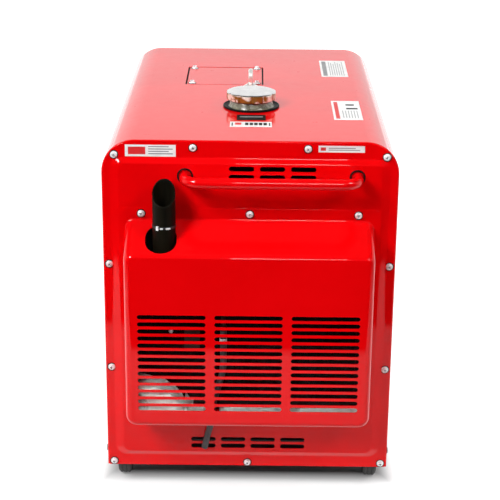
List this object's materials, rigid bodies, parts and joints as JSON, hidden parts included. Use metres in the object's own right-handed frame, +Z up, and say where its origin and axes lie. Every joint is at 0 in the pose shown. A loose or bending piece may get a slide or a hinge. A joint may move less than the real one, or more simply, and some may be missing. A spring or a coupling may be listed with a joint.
{
  "type": "portable generator",
  "caption": "Enclosed engine generator set on castors, in a sheet-metal case with a louvred exhaust hood, tube handles, a fuel cap, a lifting eye and a side service door.",
  "frame": {"origin": "on the floor, midway between the outermost points of the two ends and the two sides", "axes": "+Z up, -Y towards the exhaust end, +Y towards the control end, +X to the right when the exhaust end is faced"},
  "size_m": [0.536, 0.925, 0.728],
  "materials": {
    "red_paint": "high gloss red powder coat",
    "zinc": "bright zinc plate",
    "black_steel": "satin black paint",
    "chrome": "bright chrome plate",
    "foam": "open-cell sound foam",
    "black_plastic": "fine moulded grain",
    "black_rubber": "smooth moulded rubber",
    "wheel_rubber": "moulded tread rubber",
    "cast_aluminium": "as cast",
    "cast_iron": "as cast",
    "machined_steel": "turned",
    "yellow_plastic": "gloss",
    "exhaust_steel": "heat darkened steel",
    "foil": "crinkled foil facing",
    "black_enamel": "gloss black enamel",
    "hose_rubber": "grey rubber",
    "lamination": "laminated steel",
    "copper_winding": "varnished copper",
    "white_plastic": "gloss",
    "blue_plastic": "satin",
    "brass": "turned brass",
    "red_plastic": "gloss"
  },
  "bodies": {
    "enclosure": {"top_cover": "red_paint", "left_side_panel": "red_paint", "right_front_side_panel": "red_paint", "right_rear_side_panel": "red_paint", "exhaust_end_panel": "red_paint", "exhaust_hood": "red_paint", "control_end_panel": "red_paint", "front_handle": "red_paint", "rear_handle": "red_paint", "access_plate": "red_paint", "panel_screws": "zinc", "door_hinge": "zinc", "castor_brackets": "zinc", "base_frame": "black_steel", "side_screws": "black_steel", "lifting_bracket": "black_steel", "fan_housing": "black_steel", "starter_motor": "black_steel", "rocker_cover": "black_steel", "lifting_eye": "chrome", "fuel_tank": "black_plastic", "air_filter": "black_plastic", "battery": "black_plastic", "control_plate": "black_plastic", "breaker": "black_plastic", "filler_grommet": "black_rubber", "rubber_mounts": "black_rubber", "crankcase": "cast_aluminium", "cylinder_head": "cast_aluminium", "end_bell": "cast_aluminium", "injection_pump": "cast_aluminium", "cylinder": "cast_iron", "exhaust_elbow": "exhaust_steel", "muffler": "exhaust_steel", "foil_liner": "foil", "tail_pipe": "black_enamel", "drain_hose": "hose_rubber", "stator": "lamination", "voltmeter": "white_plastic", "socket": "blue_plastic", "terminals": "brass"},
    "left_front_wheel": {"left_front_wheel": "wheel_rubber"},
    "right_front_wheel": {"right_front_wheel": "wheel_rubber"},
    "left_rear_fork": {"left_rear_fork": "zinc"},
    "right_rear_fork": {"right_rear_fork": "zinc"},
    "left_rear_wheel": {"left_rear_wheel": "wheel_rubber"},
    "right_rear_wheel": {"right_rear_wheel": "wheel_rubber"},
    "service_door": {"service_door": "red_paint", "door_foam": "foam"},
    "door_latch": {"door_latch": "black_plastic"},
    "fuel_cap_seal": {"fuel_cap_seal": "black_rubber"},
    "fuel_cap": {"fuel_cap": "chrome"},
    "crankshaft": {"crankshaft": "machined_steel", "flywheel": "cast_iron", "rotor": "copper_winding"},
    "dipstick": {"dipstick": "yellow_plastic"},
    "start_key": {"start_key": "chrome"},
    "breaker_toggle": {"breaker_toggle": "black_plastic"},
    "socket_lid": {"socket_lid": "black_plastic"},
    "dc_button": {"dc_button": "red_plastic"}
  },
  "joints": [
    {"name": "left_front_wheel_spin", "type": "hinge", "parent": "enclosure", "child": "left_front_wheel", "pos_m": [-0.237, -0.31, 0.04], "axis": [1, 0, 0], "continuous": true},
    {"name": "left_rear_swivel", "type": "hinge", "parent": "enclosure", "child": "left_rear_fork", "pos_m": [-0.185, 0.32, 0.09], "axis": [0, 0, 1], "continuous": true},
    {"name": "left_rear_wheel_spin", "type": "hinge", "parent": "left_rear_fork", "child": "left_rear_wheel", "pos_m": [-0.185, 0.292, 0.04], "axis": [1, 0, 0], "continuous": true},
    {"name": "right_front_wheel_spin", "type": "hinge", "parent": "enclosure", "child": "right_front_wheel", "pos_m": [0.237, -0.31, 0.04], "axis": [1, 0, 0], "continuous": true},
    {"name": "right_rear_swivel", "type": "hinge", "parent": "enclosure", "child": "right_rear_fork", "pos_m": [0.185, 0.32, 0.09], "axis": [0, 0, 1], "continuous": true},
    {"name": "right_rear_wheel_spin", "type": "hinge", "parent": "right_rear_fork", "child": "right_rear_wheel", "pos_m": [0.185, 0.292, 0.04], "axis": [1, 0, 0], "continuous": true},
    {"name": "service_door_hinge", "type": "hinge", "parent": "enclosure", "child": "service_door", "pos_m": [0.264, 0.2415, 0.348], "axis": [0, 0, 1], "range_deg": [0, 110]},
    {"name": "door_latch_turn", "type": "hinge", "parent": "service_door", "child": "door_latch", "pos_m": [0.264, -0.17, 0.33], "axis": [1, 0, 0], "range_deg": [0, 90]},
    {"name": "fuel_cap_lift", "type": "slide", "parent": "enclosure", "child": "fuel_cap_seal", "axis": [0, 0, 1], "range_m": [0, 0.08]},
    {"name": "fuel_cap_turn", "type": "hinge", "parent": "fuel_cap_seal", "child": "fuel_cap", "pos_m": [0, -0.1305, 0.715], "axis": [0, 0, 1], "range_deg": [0, 90]},
    {"name": "crankshaft_spin", "type": "hinge", "parent": "enclosure", "child": "crankshaft", "pos_m": [-0.02, 0, 0.283], "axis": [0, 1, 0], "continuous": true},
    {"name": "dipstick_pull", "type": "slide", "parent": "enclosure", "child": "dipstick", "axis": [0, 0, 1], "range_m": [0, 0.14]},
    {"name": "start_key_turn", "type": "hinge", "parent": "enclosure", "child": "start_key", "pos_m": [0.11, 0.4115, 0.445], "axis": [0, 1, 0], "range_deg": [0, 90]},
    {"name": "breaker_toggle_tip", "type": "hinge", "parent": "enclosure", "child": "breaker_toggle", "pos_m": [0.02, 0.4075, 0.535], "axis": [1, 0, 0], "range_deg": [-25, 25]},
    {"name": "socket_lid_hinge", "type": "hinge", "parent": "enclosure", "child": "socket_lid", "pos_m": [-0.085, 0.4215, 0.536], "axis": [1, 0, 0], "range_deg": [0, 100]},
    {"name": "dc_button_press", "type": "slide", "parent": "enclosure", "child": "dc_button", "axis": [0, 1, 0], "range_m": [-0.003, 0], "stiffness_N_per_m": 300}
  ]
}
